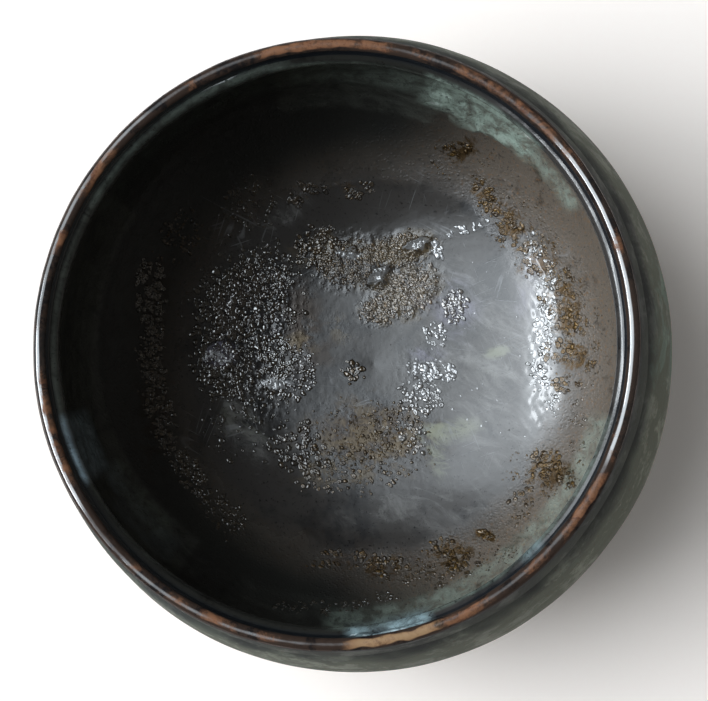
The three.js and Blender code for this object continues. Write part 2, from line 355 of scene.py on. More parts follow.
def ringMesh(name, rings, loop=False):
    # rings of points joined in order; one point closes an end, and a loop joins the last to the first
    firsts = np.cumsum([0] + [len(r) for r in rings])
    fours, threes = [], []
    pairs = list(zip(range(len(rings) - 1), range(1, len(rings))))
    if loop:
        pairs.append((len(rings) - 1, 0))
    for i, j in pairs:
        m, n = len(rings[i]), len(rings[j])
        if m > 1 and n > 1:
            f, t = bridge(firsts[i], m, firsts[j], n)
            fours += f
            threes += t
        elif m == 1:
            k = firsts[j] + np.arange(n)
            threes.append(np.stack([np.full(n, firsts[i]), k, np.roll(k, -1)], 1))
        else:
            k = firsts[i] + np.arange(m)
            threes.append(np.stack([np.full(m, firsts[j]), np.roll(k, -1), k], 1))
    return meshPiece(name, np.concatenate(rings), fours, threes)


def meshPiece(name, points, fours, threes):
    fours = np.concatenate(fours) if fours else np.zeros((0, 4), int)
    threes = np.concatenate(threes) if threes else np.zeros((0, 3), int)
    corners = np.concatenate([fours.ravel(), threes.ravel()]).astype(np.int32)
    starts = np.concatenate([np.arange(len(fours)) * 4, len(fours) * 4 + np.arange(len(threes)) * 3])
    mesh = bpy.data.meshes.new(name)
    mesh.vertices.add(len(points))
    mesh.vertices.foreach_set("co", (points * mm).astype(np.float32).ravel())
    mesh.loops.add(len(corners))
    mesh.loops.foreach_set("vertex_index", corners)
    mesh.polygons.add(len(starts))
    mesh.polygons.foreach_set("loop_start", starts.astype(np.int32))
    mesh.update(calc_edges=True)
    mesh.polygons.foreach_set("use_smooth", np.ones(len(starts), bool))
    piece = bpy.data.objects.new(name, mesh)
    bpy.context.scene.collection.objects.link(piece)
    return piece


def pointsOf(piece):
    flat = np.zeros(len(piece.data.vertices) * 3, np.float32)
    piece.data.vertices.foreach_get("co", flat)
    return flat.reshape(-1, 3).astype(float) / mm


def addMark(piece, name, values):
    layer = piece.data.attributes.new(name, "FLOAT", "POINT")
    layer.data.foreach_set("value", np.ascontiguousarray(values, np.float32))


def finishPiece(piece, material, nodes=(), sharpAngle=50):
    if sharpAngle:
        piece.data.set_sharp_from_angle(angle=math.radians(sharpAngle))
    piece.data.materials.append(material)
    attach(piece, "root")
    if nodes:
        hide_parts(*nodes)
    triangles = sum(len(p.vertices) - 2 for p in piece.data.polygons)
    print("made", piece.name, triangles, "triangles")


def glazedRing(length, count):
    # a ring on the glaze's face, with the relief
    lengths, bearing = np.full(count, float(length)), evenTurns(count)
    points = onSection(lengths, bearing)
    return points + facing(lengths, bearing) * reliefAt(points, lengths)[:, None]


def plainRing(length, count, depth=0, kind="skin"):
    lengths, bearing = np.full(count, float(length)), evenTurns(count)
    return onSection(lengths, bearing, kind) - facing(lengths, bearing) * depth


def underCoat(start, end, counts):
    # the rings of a coat's hidden face
    return [plainRing(length, count, form["coat"])
            for length, count in zip(np.linspace(start, end, len(counts)), counts)]


def ringLengths(start, end, spacing):
    return np.linspace(start, end, max(2, round((end - start) / spacing) + 1))


# Node helpers: a node goes into the tree that was started last, and a field is what a node puts out

making = {}


class Field:
    def __init__(self, socket):
        self.socket = socket

    def __add__(self, other):
        return maths("ADD", self, other)

    def __sub__(self, other):
        return maths("SUBTRACT", self, other)

    def __rsub__(self, other):
        return maths("SUBTRACT", other, self)

    def __mul__(self, other):
        return maths("MULTIPLY", self, other)


def feed(socket, value):
    if isinstance(value, Field):
        making["tree"].links.new(value.socket, socket)
    elif socket.type == "RGBA":
        socket.default_value = (*value, 1)
    elif value is not None:
        socket.default_value = value


def addNode(kind, inputs=None, output=0, **settings):
    made = making["tree"].nodes.new("ShaderNode" + kind)
    for key, value in settings.items():
        setattr(made, key, value)
    for key, value in (inputs or {}).items():
        feed(made.inputs[key], value)
    return Field(made.outputs[output])


def maths(operation, a, b=None):
    return addNode("Math", {0: a, 1: b}, operation=operation)


def clamped(a):
    return addNode("Clamp", {0: a})


def mixNumbers(share, a, b):
    return addNode("Mix", {0: share, 2: a, 3: b}, data_type="FLOAT")


def mixColours(share, a, b):
    return addNode("Mix", {0: share, 6: a, 7: b}, 2, data_type="RGBA")


def layered(colour, *layers):
    # lays colours over the first one, each with the share of the surface that it takes
    for share, over in layers:
        colour = mixColours(share, colour, over)
    return colour


def remap(value, low, high, newLow=0, newHigh=1):
    return addNode("MapRange", {0: value, 1: low, 2: high, 3: newLow, 4: newHigh},
                   interpolation_type="SMOOTHSTEP")


def mapped(place, **values):
    return addNode("Mapping", {"Vector": place, **values})


def noise(scale, detail=4, roughness=0.55, distortion=0, place=None):
    return addNode("TexNoise", {"Vector": place or making["place"], "Scale": scale, "Detail": detail,
                                "Roughness": roughness, "Distortion": distortion})


def mark(name):
    return addNode("Attribute", output="Fac", attribute_name=name, attribute_type="GEOMETRY")


def bump(height, strength, distance, under=None):
    return addNode("Bump", {"Height": height, "Strength": strength, "Distance": distance, "Normal": under})


def newMaterial(name):
    material = bpy.data.materials.new(name)
    material.use_nodes = True
    making["tree"] = material.node_tree
    making["place"] = addNode("TexCoord", output="Object")
    return material


def shade(material, values):
    for key, value in values.items():
        feed(material.node_tree.nodes["Principled BSDF"].inputs[key], value)
    return material


def newGroup(name, inputs, outputs):
    # an input's start value tells its kind: None is a place, and three numbers are a colour
    tree = bpy.data.node_groups.new(name, "ShaderNodeTree")
    for key, start in {"Place": None, **inputs}.items():
        kind = "Vector" if start is None else "Color" if isinstance(start, tuple) else "Float"
        socket = tree.interface.new_socket(key, in_out="INPUT", socket_type="NodeSocket" + kind)
        if start is not None:
            socket.default_value = (*start, 1) if kind == "Color" else start
    for key in outputs:
        kind = "Color" if key == "Colour" else "Float"
        tree.interface.new_socket(key, in_out="OUTPUT", socket_type="NodeSocket" + kind)
    begin = tree.nodes.new("NodeGroupInput").outputs
    given = {key: Field(begin[key]) for key in ("Place", *inputs)}
    making.update(tree=tree, place=given["Place"])
    return given


def groupOf(**outputs):
    tree = making["tree"]
    end = tree.nodes.new("NodeGroupOutput")
    for key, value in outputs.items():
        feed(end.inputs[key], value)
    return tree


def useGroup(group, **values):
    made = making["tree"].nodes.new("ShaderNodeGroup")
    made.node_tree = group
    for key, value in {"Place": making["place"], **values}.items():
        feed(made.inputs[key], value)
    return {socket.name: Field(socket) for socket in made.outputs}


# Effects that several finishes share


def makeMottle():
    # cloudy patches of a second colour, with finer grain inside each patch
    given = newGroup("glaze mottle", {"Scale": 60, "Cover": 0.5, "Ground": (0, 0, 0), "Patch": (1, 1, 1)},
                     ["Colour", "Mask"])
    cloud = noise(given["Scale"], 6, 0.62, 0.6)
    grain = noise(given["Scale"] * 7, 3, 0.6)
    edge = 1 - given["Cover"] * 0.6
    mask = remap(cloud + grain * 0.35, edge - 0.16, edge)
    return groupOf(Colour=mixColours(mask, given["Ground"], given["Patch"]), Mask=mask)


def makeScratches():
    # hairline scratches from use: thin stretches of wavy bands
    given = newGroup("hairline scratches", {"Amount": 0.5}, ["Mask"])
    total = None
    for turn, scale, shift in ((0.5, 420, 0), (1.9, 520, 3), (2.8, 380, 7), (1.2, 460, 11), (0.1, 500, 17)):
        drawn = mapped(given["Place"], Rotation=(0, 0, turn))
        drawn = mapped(drawn, Scale=(0.04, 1, 0.04), Location=(shift, 0, 0))
        line = remap(maths("ABSOLUTE", noise(scale, 0, 0.3, 0, drawn) - 0.5), 0.022, 0)
        line = line * remap(noise(110 + shift * 5, 3), 0.55, 0.7)
        total = line if total is None else maths("MAXIMUM", total, line)
    return groupOf(Mask=total * given["Amount"])


def makePits():
    # the height of pinholes and tiny blisters
    given = newGroup("glaze pits", {"Scale": 900, "Amount": 0.5}, ["Height"])
    distance = addNode("TexVoronoi", {"Vector": given["Place"], "Scale": given["Scale"]}, "Distance")
    low = 0.8 - given["Amount"] * 0.3
    hole = remap(distance, 0.3, 0.12) * remap(noise(given["Scale"] * 0.35, 1), low, low + 0.08)
    return groupOf(Height=remap(distance, 0.5, 0) * given["Amount"] - hole)


def makeStreaks():
    # level streaks left by the wheel
    given = newGroup("wheel streaks", {"Scale": 300}, ["Mask", "Height"])
    streak = noise(given["Scale"], 5, 0.65, 0.2, mapped(given["Place"], Scale=(0.07, 0.07, 1)))
    return groupOf(Mask=remap(streak, 0.42, 0.62), Height=streak)


mottle = makeMottle()
scratches = makeScratches()
pits = makePits()
streaks = makeStreaks()
print("shared effects made")


def mottled(scale, cover, ground, patch):
    return useGroup(mottle, Scale=scale, Cover=cover, Ground=ground, Patch=patch)


def pitted(scale, amount, strength, distance, under):
    tiny = useGroup(pits, Scale=scale, Amount=amount)
    return bump(tiny["Height"], strength, distance, under)


# The glaze inside

insideGlaze = {
    "pool": (0.020, 0.019, 0.019),
    "poolPatch": (0.045, 0.041, 0.038),
    "wall": (0.052, 0.038, 0.026),
    "wallPatch": (0.112, 0.090, 0.070),
    "wallSpeck": (0.17, 0.085, 0.030),
    # painted shade: the wall on the side away from the light, nearly black
    "paintedShade": (0.006, 0.0055, 0.005),
    "paintedShadePatch": (0.016, 0.016, 0.014),
    "veil": (0.075, 0.080, 0.068),
    "haze": (0.215, 0.21, 0.20),
    # milky white, which also paints the glints of beads and the lighter lump crests
    "milkyAndPaintedGlint": (0.58, 0.59, 0.61),
    "gold": (0.155, 0.112, 0.055),
    "rust": (0.038, 0.026, 0.018),
    "teal": (0.34, 0.425, 0.36),
    "sky": (0.22, 0.30, 0.32),
    "slate": (0.25, 0.32, 0.36),
    "olive": (0.20, 0.21, 0.145),
    # painted shade in the hollow under the lip
    "paintedHollowShade": (0.006, 0.009, 0.014),
    "lilac": (0.165, 0.155, 0.225),
    "freckle": (0.075, 0.042, 0.013),
    "amberDark": (0.022, 0.012, 0.004),
    "amberLight": (0.15, 0.085, 0.022),
    "clear": (0.044, 0.037, 0.027),
    "black": (0.006, 0.005, 0.004),
    "scratch": (0.34, 0.35, 0.36),
    "poolRoughness": (0.10, 0.24),
    "wallRoughness": 0.42,
    "dropRoughness": 0.06,
    "spotRoughness": 0.42,
    "spotLustre": 0.85,
    "unshadedBearing": -8,  # the photograph's bearing that the painted shade turns away from, where the wall shows its brown
    "paintedShadeOff": (50, 86),  # degrees from there over which painted shade turns the wall nearly black
    # the radii over which the painted shade comes in
    "paintedShadeRadius": (36, 50),
    "brownRadius": (37, 48),
    "brownBelow": 7,  # the wall's brown ends so far below the lip
    "hollowBelow": 2.7,  # the hollow under the lip, which gets painted shade
    "hollowHalf": 1.4,
}


def makeInsideMaterial():
    material, glaze = newMaterial("inside glaze"), insideGlaze
    ragged = noise(260, 5, 0.65, 0.4)
    fine = noise(1500, 4, 0.65)
    wiped = mapped(mapped(making["place"], Rotation=(0, 0, 0.6)), Scale=(0.4, 1, 1))
    smear = noise(190, 9, 0.74, 1.5, wiped)
    stain = noise(450, 6, 0.72, 0.8)
    veined = noise(300, 7, 0.74, 0.5)
    brown = clamped(mark("brown") + (ragged - 0.5) * 0.5) * remap(mark("brown"), 0, 0.15)
    wall = mottled(150, 0.62, glaze["wall"], glaze["wallPatch"])["Colour"]
    wall = mixColours(remap(fine, 0.56, 0.64) * 0.55, wall, glaze["wallSpeck"])
    # the wall on the side away from the light gets painted shade
    colour = layered(mottled(48, 0.5, glaze["pool"], glaze["poolPatch"])["Colour"], (brown, wall),
                     (mark("paintedShade"), mottled(60, 0.6, glaze["paintedShade"], glaze["paintedShadePatch"])["Colour"]))
    shares = {}
    for name, spread, low, high in (("rust", ragged, 0.2, 0.7), ("gold", ragged, 0.2, 0.65),
                                    ("veil", smear, 0.1, 1.4), ("olive", smear, 0.2, 0.9),
                                    ("haze", smear, 0.3, 1.25), ("lilac", smear, 0.1, 1),
                                    ("freckle", stain, 0.6, 1)):
        uneven = mark(name) + (spread - 0.5) * 3.4
        shares[name] = clamped(remap(uneven, low, high) * mark(name))
        colour = mixColours(shares[name], colour, glaze[name])
    for name, least in (("teal", 0.15), ("slate", 0.5), ("sky", 0.3)):
        share = clamped(mark(name) * remap(veined, 0.36, 0.64, least, 1.1))
        colour = mixColours(share, colour, glaze[name])
    hairlines = useGroup(scratches, Amount=mark("worn"))["Mask"]
    amber = mixColours(mark("tone"), glaze["amberDark"], glaze["amberLight"])
    # the hollow under the lip gets painted shade
    colour = layered(colour, (mark("paintedHollowShade"), glaze["paintedHollowShade"]),
                     (remap(fine, 0.42, 0.32, 0, 0.75), glaze["black"]), (mark("glassy"), glaze["clear"]),
                     # milky white here is partly painted glints
                     (mark("milkyAndPaintedGlint"), glaze["milkyAndPaintedGlint"]), (mark("amber"), amber),
                     # the blisters' rims get painted shade
                     (mark("paintedRimShade") * 0.85, glaze["black"]), (hairlines * 0.55, glaze["scratch"]))
    spotted = clamped(shares["freckle"] + shares["rust"] * 0.7 + mark("amber"))
    rough = mixNumbers(brown, mixNumbers(ragged, *glaze["poolRoughness"]), glaze["wallRoughness"])
    rough = mixNumbers(mark("glassy"), rough, glaze["dropRoughness"])
    rough = mixNumbers(spotted, rough, glaze["spotRoughness"])
    film = maths("MAXIMUM", mark("olive"), mark("haze"))
    sandy = clamped(brown * 0.6 + (mark("gold") + mark("freckle")))
    skinned = bump(noise(700, 3, 0.5), 0.06, 0.0004)
    grained = bump(noise(1100, 5, 0.75), sandy * 0.6, 0.00025, skinned)
    return shade(material, {
        "Base Color": colour,
        "Metallic": spotted * glaze["spotLustre"],  # keeps the pale sky out of the rust spots
        "Roughness": clamped(rough + film * 0.16 + hairlines * 0.3),
        "Normal": pitted(1300, clamped(mark("pebble") + brown * 0.5), 0.55, 0.0002, grained),
        "Coat Weight": clamped(mark("glassy") + mark("ripple") * 0.2 + mark("gravel") * 0.12),
        "Coat Roughness": 0.05,
        "Coat IOR": 2.1,
        "IOR": 1.54,
    })


def markInside(piece, points=None, lengths=None):
    # every mark that the inside glaze reads by its place, also for a piece that stands over these points
    if points is None:
        points = pointsOf(piece)
        lengths = lengthsOf(points)
    glaze = insideGlaze
    radius = np.hypot(points[:, 0], points[:, 1]) + 0.5 * smoothWaves(points, 9, 41)
    for name in (*ovalMarks, *bandMarks):
        addMark(piece, name, maskAt(points, name))
    # painted shade on the wall away from the light, by bearing and radius
    off = degreesOff(bearingAt(pixelsOf(points))[0], glaze["unshadedBearing"])
    addMark(piece, "paintedShade", ramp(off, *glaze["paintedShadeOff"]) * ramp(radius, *glaze["paintedShadeRadius"]))
    fromHollow = np.abs(lengths - (crestLength - glaze["hollowBelow"]))
    blue = np.maximum.reduce([maskAt(points, name) for name in ("sky", "slate", "teal")])
    hollow = np.clip(1 - fromHollow / glaze["hollowHalf"], 0, 1)
    # painted shade in the hollow under the lip, left out under the ash runs
    addMark(piece, "paintedHollowShade", hollow * (1 - np.clip(blue * 1.3, 0, 1)))
    low = lengths < crestLength - glaze["brownBelow"]
    addMark(piece, "brown", ramp(radius, *glaze["brownRadius"]) * low)
    return points, lengths


floorEdge = float(lengthAtRadius(form["floorEdge"]))
insideEnd = crestLength - form["lipReach"]
outsideStart = crestLength + form["lipReach"]


def makeFloor(material):
    counts = {2.4: 48, 5.5: 96, 11: 192, 24: 384, 99: fullRound}  # points round a ring, up to each radius
    middle = np.array([[0, 0, section["skin"][0, 1]]])
    rings = [middle + [0, 0, float(reliefAt(middle, np.zeros(1))[0])]]
    for length in ringLengths(0.3, floorEdge, spacing["floor"]):
        rings.append(glazedRing(length, next(count for limit, count in counts.items() if length <= limit)))
    rings += underCoat(floorEdge, 1, (fullRound, 384, 192, 96, 96, 48, 48, 48, 48, 48))
    rings.append(middle - [0, 0, form["coat"]])
    piece = ringMesh("pool_glaze", rings)
    markInside(piece)
    finishPiece(piece, material, ["inner_glaze"])


def makeWall(material):
    rings = [glazedRing(length, fullRound) for length in ringLengths(floorEdge, insideEnd, spacing["wall"])]
    rings += underCoat(insideEnd, floorEdge, (fullRound, 384, 192, *[96] * 8, 192, 384, fullRound))
    piece = ringMesh("wall_glaze", rings, True)
    markInside(piece)
    finishPiece(piece, material, ["inner_glaze"])


insideMaterial = makeInsideMaterial()
makeFloor(insideMaterial)
makeWall(insideMaterial)
print("inside glaze made")

# Blisters and craters in the glaze

blister = {
    "around": 8,
    "rings": (0.38, 0.72, 0.93, 1.12),  # shares of its radius
    "dome": (1, 0.92, 0.6, 0.2, -0.1),  # height at the middle and at each ring
    "crater": (0.1, 0.4, 1, 0.4, -0.1),
    # darkness on each blister's outer slope and in a crater's pit: painted shade
    "domeRimShade": (0, 0, 0.1, 0.6, 0.2),
    "craterRimShade": (0.35, 0.1, 0, 0.8, 0.3),
    "domeHeight": (0.22, 0.46),  # as a share of the radius
    "craterHeight": (0.12, 0.26),
    "depth": 0.2,
    "slant": -42,  # the bearing that most of them are drawn out along
    "drawnOut": 1.45,  # at most, as length to width
    "gravelDrawnOut": 2.1,
    "gathered": {"wall_blisters_right": 0.4, "wall_blisters_left": 0.25},  # how far they draw together
    "family": 13,  # blisters that draw together
    "belowLip": 9,
    "lumpHeight": 1.2,
    "climb": (0.3, 0.8),  # how far they go up a lump, as a share of its height
}

# Clusters in the photograph: middle x and y, half width and height, turn, how many, smallest and
# largest radius in mm, share of craters, amber, glassy, milky white that also paints glints. Some kinds
# repeat from the craters on.
drops = (0.85, 0.95, 0.15)
darkDrops = (0.85, 0.9, 0.15)
grains = (0.5, 0.9, 0.1)
blisterClusters = {
    "pool_blisters_left": [
        (245, 330, 50, 72, 0, 760, 0.26, 0.76, 0.55, 0.15, 1),
        (228, 305, 26, 34, 0, 130, 0.5, 0.95, 0.55, 0.1, 1),
        (217, 366, 24, 28, 0, 120, 0.45, 0.9, 0.45, 0.1, 0.9),
        (219, 360, 14, 13, 0, 46, 0.35, 0.9, 0.2, 0, 1, 1.5),
        (268, 268, 30, 26, 20, 200, 0.3, 0.6, 0.4, 0.2, 0.9),
        (287, 372, 30, 28, 0, 260, 0.25, 0.62, 0.4, 0.2, 1),
        (277, 384, 14, 4, 0, 60, 0.4, 0.8, 0.1, 0, 1, 1.3),
        (219, 360, 10, 10, 0, 12, 0.5, 0.85, 0.3, 0, 0.9, 0.7),
        (277, 384, 12, 3, 0, 9, 0.7, 1.1, 0, 0, 0.9, 0.6),
        (348, 254, 10, 4, 0, 8, 0.5, 0.95, 0, 0, 0.9, 0.5),
        (245, 425, 44, 42, 0, 90, 0.28, 0.6, 0.5, 0.15, 0.6),
        (300, 452, 26, 34, 30, 110, 0.4, 0.8, 0.6, 0.25, 0.5),
        (320, 248, 24, 20, 0, 190, 0.3, 0.65, 0.4, 0.5, 0.5),
        (349, 254, 12, 5, 0, 22, 0.4, 0.85, 0.1, 0, 1, 0.5),
        (352, 372, 11, 10, 0, 34, 0.35, 0.75, 0.5, 0.6, 0.6),
        (250, 218, 36, 16, 35, 26, 0.3, 0.6, 0.6, 0.2, 0.6),
    ],
    "pool_gravel": [
        (352, 264, 30, 22, 10, 520, 0.2, 0.46, 0.1, 0.6, 0.25, 0.12),
        (398, 250, 34, 14, 15, 520, 0.2, 0.46, 0.1, 0.6, 0.25, 0.12),
        (405, 290, 32, 24, 20, 860, 0.2, 0.48, 0.1, 0.6, 0.3, 0.25),
        (378, 312, 18, 12, 0, 220, 0.22, 0.48, 0.08, 0.6, 0.3, 0.25),
        (370, 440, 60, 38, 0, 420, 0.14, 0.32, 0.4, 0.6, 0.1),
    ],
    "pool_blisters_right": [
        (454, 306, 12, 16, 0, 80, 0.28, 0.66, 0.3, 0.3, 0.9, 0.3),
        (436, 336, 13, 14, 20, 40, 0.25, 0.6, 0.2, 0, 1, 0.5),
        (432, 371, 26, 11, -10, 90, 0.25, 0.75, 0.25, 0, 1, 0.65),
        (421, 395, 22, 18, -40, 90, 0.25, 0.65, 0.35, 0.2, 0.9, 0.4),
        (412, 438, 14, 20, 20, 50, 0.25, 0.6, 0.4, 0.4, 0.7, 0.2),
        (437, 250, 6, 8, 0, 20, 0.4, 0.9, 0.1, 0, 1, 0.6),
        (352, 470, 60, 26, 0, 150, 0.25, 0.55, 0.7, 0.6, 0.3),
        (395, 425, 30, 22, 0, 90, 0.25, 0.5, 0.4, 0.5, 0.4),
        (465, 228, 22, 6, 15, 16, 0.35, 0.7, 0.2, 0, 1, 0.7),
        (532, 252, 9, 16, -20, 24, 0.25, 0.6, 0.6, 0, 1, 0.2),
        (543, 325, 12, 72, -6, 170, 0.22, 0.62, 0.85, 0, 1, 0.2),
        (551, 396, 8, 22, 6, 30, 0.22, 0.55, 0.6, 0, 1, 0.3),
        (470, 360, 90, 110, 0, 40, 0.12, 0.26, 0.2, 0, 0.9, 1),
        (549, 315, 1, 1, 0, 1, 0.9, 0.95, 1, 0, 1, 1),
    ],
    "wall_blisters_right": [
        (460, 150, 14, 10, 20, 46, 0.2, 0.68, *drops), (436, 152, 14, 8, 0, 14, 0.2, 0.56, *darkDrops),
        (485, 193, 18, 12, -20, 48, 0.2, 0.72, *drops), (502, 214, 22, 12, -35, 62, 0.2, 0.78, *drops),
        (520, 236, 20, 16, -45, 79, 0.2, 0.72, *drops), (540, 258, 18, 22, 0, 94, 0.2, 0.68, *darkDrops),
        (558, 290, 18, 30, 0, 125, 0.2, 0.62, *darkDrops), (572, 322, 16, 20, 0, 114, 0.2, 0.66, *drops),
        (560, 352, 18, 12, 0, 73, 0.2, 0.68, *drops), (586, 362, 12, 12, 0, 52, 0.2, 0.56, *darkDrops),
        (566, 385, 14, 10, 0, 42, 0.2, 0.68, *drops), (547, 458, 14, 12, 0, 62, 0.2, 0.78, *drops),
        (549, 474, 18, 14, 0, 94, 0.2, 0.72, *drops), (566, 482, 12, 10, 0, 31, 0.2, 0.62, *darkDrops),
        (533, 490, 12, 8, 0, 25, 0.2, 0.62, *darkDrops),
        (486, 535, 12, 6, -20, 27, 0.2, 0.68, 0.85, 1, 0.35), (443, 545, 14, 10, 0, 38, 0.2, 0.72, *drops),
        (462, 562, 16, 12, 0, 87, 0.2, 0.72, *drops), (520, 505, 26, 18, 35, 26, 0.3, 0.6, 0.7, 0.7, 0.2),
        (350, 190, 22, 10, 0, 44, 0.3, 0.65, 0.7, 0.5, 0.3),
        (300, 192, 20, 12, 0, 60, 0.35, 0.75, 0.75, 0.45, 0.3),
        (440, 580, 30, 10, 15, 40, 0.25, 0.5, 0.6, 0.5, 0.4),
        (383, 566, 26, 12, 0, 94, 0.2, 0.62, 0.85, 0.85, 0.35),
        (340, 560, 30, 14, 0, 60, 0.28, 0.6, 0.7, 0.7, 0.1),
        (415, 575, 30, 12, 10, 50, 0.25, 0.55, 0.6, 0.5, 0.3),
        (580, 420, 16, 40, 0, 40, 0.2, 0.4, 0.4, 0.5, 0.5),
        (515, 225, 55, 28, -42, 320, 0.12, 0.28, *grains), (572, 330, 30, 62, 0, 420, 0.12, 0.26, *grains),
        (545, 472, 42, 26, 0, 200, 0.12, 0.28, *grains), (450, 560, 70, 22, 10, 260, 0.12, 0.28, *grains),
        (465, 160, 34, 22, 0, 90, 0.12, 0.26, *grains),
    ],
    "wall_blisters_left": [
        (150, 292, 15, 34, 0, 300, 0.28, 0.62, 0.5, 0.3, 0.9),
        (152, 350, 14, 36, 0, 240, 0.28, 0.6, 0.5, 0.35, 0.8),
        (160, 410, 15, 40, 10, 240, 0.28, 0.62, 0.5, 0.35, 0.8),
        (190, 470, 14, 36, 35, 200, 0.28, 0.62, 0.5, 0.3, 0.8),
        (225, 515, 26, 16, -40, 110, 0.25, 0.55, 0.5, 0.3, 0.5),
        (180, 235, 22, 30, -25, 90, 0.28, 0.6, 0.5, 0.4, 0.4),
        (310, 606, 50, 8, -3, 60, 0.25, 0.55, 0.3, 0, 1), (372, 600, 30, 8, 5, 40, 0.25, 0.5, 0.3, 0, 1),
        (240, 200, 34, 18, 35, 70, 0.28, 0.6, 0.6, 0.3, 0.4),
    ],
}


def drawTogether(rng, x, y, share):
    # moves blisters towards the nearest of a few of their own number
    chosen = rng.choice(len(x), max(1, len(x) // blister["family"]), replace=False)
    nearest = chosen[np.argmin(np.hypot(x[:, None] - x[chosen], y[:, None] - y[chosen]), axis=1)]
    return x + share * (x[nearest] - x), y + share * (y[nearest] - y)


def scatterCluster(rng, x, y, halfWidth, halfHeight, turn, count, small, large, craters, amber, glassy,
                   milkyAndPaintedGlint=0):
    reach = rng.random(count) ** 0.55 * (1 + 0.16 * rng.normal(size=count))
    angle = rng.random(count) * 2 * math.pi
    across, up = halfWidth * reach * np.cos(angle), halfHeight * reach * np.sin(angle)
    c, s = cosSin(turn)
    return {
        "x": x + across * c - up * s,
        "y": y - across * s - up * c,
        "radius": small + (large - small) * rng.random(count) ** 2,
        "crater": rng.random(count) < craters,
        "amber": np.clip(amber * rng.uniform(0.6, 1.15, count), 0, 1),
        "glassy": np.clip(glassy * rng.uniform(0.6, 1.15, count), 0, 1),
        "milkyAndPaintedGlint": milkyAndPaintedGlint * rng.uniform(0.5, 1, count),
        "tone": rng.random(count),
    }


def blisterGrid(rng, spots, bearing, drawnOut):
    # every blister's points in its own plane, with their heights and painted rim shade: blisters by points
    count, around = len(spots["x"]), blister["around"]

    def overRings(middle, *values):
        # a value at the middle, one for each ring's points, and nothing for the hidden point below
        return np.concatenate([[middle]] + [np.full(around, value) for value in values] + [[0]])

    share = overRings(0, *blister["rings"])
    angle = np.concatenate([[0]] + [evenTurns(around)] * len(blister["rings"]) + [[0]])
    a, b, c = (rng.uniform(0, 6.28, (count, 1)) for _ in range(3))
    uneven = 1 + 0.16 * np.sin(2 * angle + a) + 0.10 * np.sin(3 * angle + b)
    reach = spots["radius"][:, None] * share * uneven
    rise = {key: overRings(*blister[key]) for key in ("dome", "crater", "domeRimShade", "craterRimShade")}
    crater = spots["crater"][:, None]
    tall = np.where(crater, rng.uniform(*blister["craterHeight"], (count, 1)),
                    rng.uniform(*blister["domeHeight"], (count, 1))) * spots["radius"][:, None]
    tall *= 1 - 0.5 * spots["milkyAndPaintedGlint"][:, None]
    tilt = 1 + 0.4 * share * np.cos(angle - c)
    height = np.where(crater, rise["crater"], rise["dome"]) * tall * tilt
    height *= rng.uniform(0.86, 1.14, reach.shape)
    height[:, -1] = -blister["depth"]
    paintedRimShade = np.where(crater, rise["craterRimShade"], rise["domeRimShade"])
    stretch = rng.uniform(1, drawnOut, (count, 1)) + 0.6 * spots["milkyAndPaintedGlint"][:, None]
    way = math.radians(blister["slant"]) + rng.normal(0, 0.4, (count, 1)) - bearing
    reach /= np.sqrt(stretch)
    u, v = reach * np.cos(angle), reach * np.sin(angle)
    extra = (stretch - 1) * (u * np.cos(way) + v * np.sin(way))
    return u + extra * np.cos(way), v + extra * np.sin(way), height, paintedRimShade


def blisterFaces(count):
    around, rings = blister["around"], len(blister["rings"])
    k = np.arange(around)
    after = (k + 1) % around
    last = 1 + (rings - 1) * around
    threes = [np.stack([np.zeros(around, int), 1 + k, 1 + after], 1),
              np.stack([np.full(around, 1 + rings * around), last + after, last + k], 1)]
    fours = [np.stack([first + k, first + around + k, first + around + after, first + after], 1)
             for first in range(1, last, around)]
    shift = (np.arange(count) * (2 + rings * around))[:, None, None]
    return [(shift + np.concatenate(part)).reshape(-1, size) for part, size in ((fours, 4), (threes, 3))]


lumps = {
    "glaze_lump_long": {"x": 1.6, "y": 18.6, "half": (4.5, 2.5), "rise": 1.7, "turn": 42, "seed": 231},
    "glaze_lump_bright": {"x": 9.8, "y": 25, "half": (4.6, 2.35), "rise": 1.6, "turn": 18, "seed": 241},
    "glaze_lump_small": {"x": -4.6, "y": 24.2, "half": (2, 1.55), "rise": 1, "turn": 8, "seed": 251},
}


def unevenEdge(turn, seed, long, short):
    spot = 3 * np.stack([np.cos(turn), np.sin(turn), 0 * turn], -1)
    return 1 + long * smoothWaves(spot, 2.2, seed) + short * smoothWaves(spot, 0.7, seed + 1)


def lumpEdge(lump, turn):
    return unevenEdge(turn, lump["seed"], 0.07, 0.02) - 0.07


def lumpRise(lump, points, share, turn):
    # a fold with a steep face to the upper left and a long slope to the lower right
    seed = lump["seed"]
    steep = ramp(np.sin(turn), -0.3, 0.9)
    fall = 0.95 + (0.22 - 0.95) * steep
    body = ramp((1 - share) / fall, 0, 1) * (0.6 + 0.4 * np.sin(turn) * share)
    folds = 0.17 * smoothWaves(points, 2.3, seed + 2) + 0.07 * smoothWaves(points, 0.8, seed + 3, 20)
    return lump["rise"] * body * (1 + folds) - 0.06


def overLumps(points):
    # how high the lumps stand over points of the floor
    high = np.zeros(points.shape[:-1])
    for lump in lumps.values():
        c, s = cosSin(lump["turn"])
        east, north = points[..., 0] - lump["x"], points[..., 1] - lump["y"]
        along = (east * c + north * s) / lump["half"][0]
        across = (north * c - east * s) / lump["half"][1]
        around = np.arctan2(across, along)
        share = np.hypot(along, across) / lumpEdge(lump, around)
        rise = lumpRise(lump, points, np.minimum(share, 1), around)
        high = np.where(share < 1, np.maximum(high, rise), high)
    return high


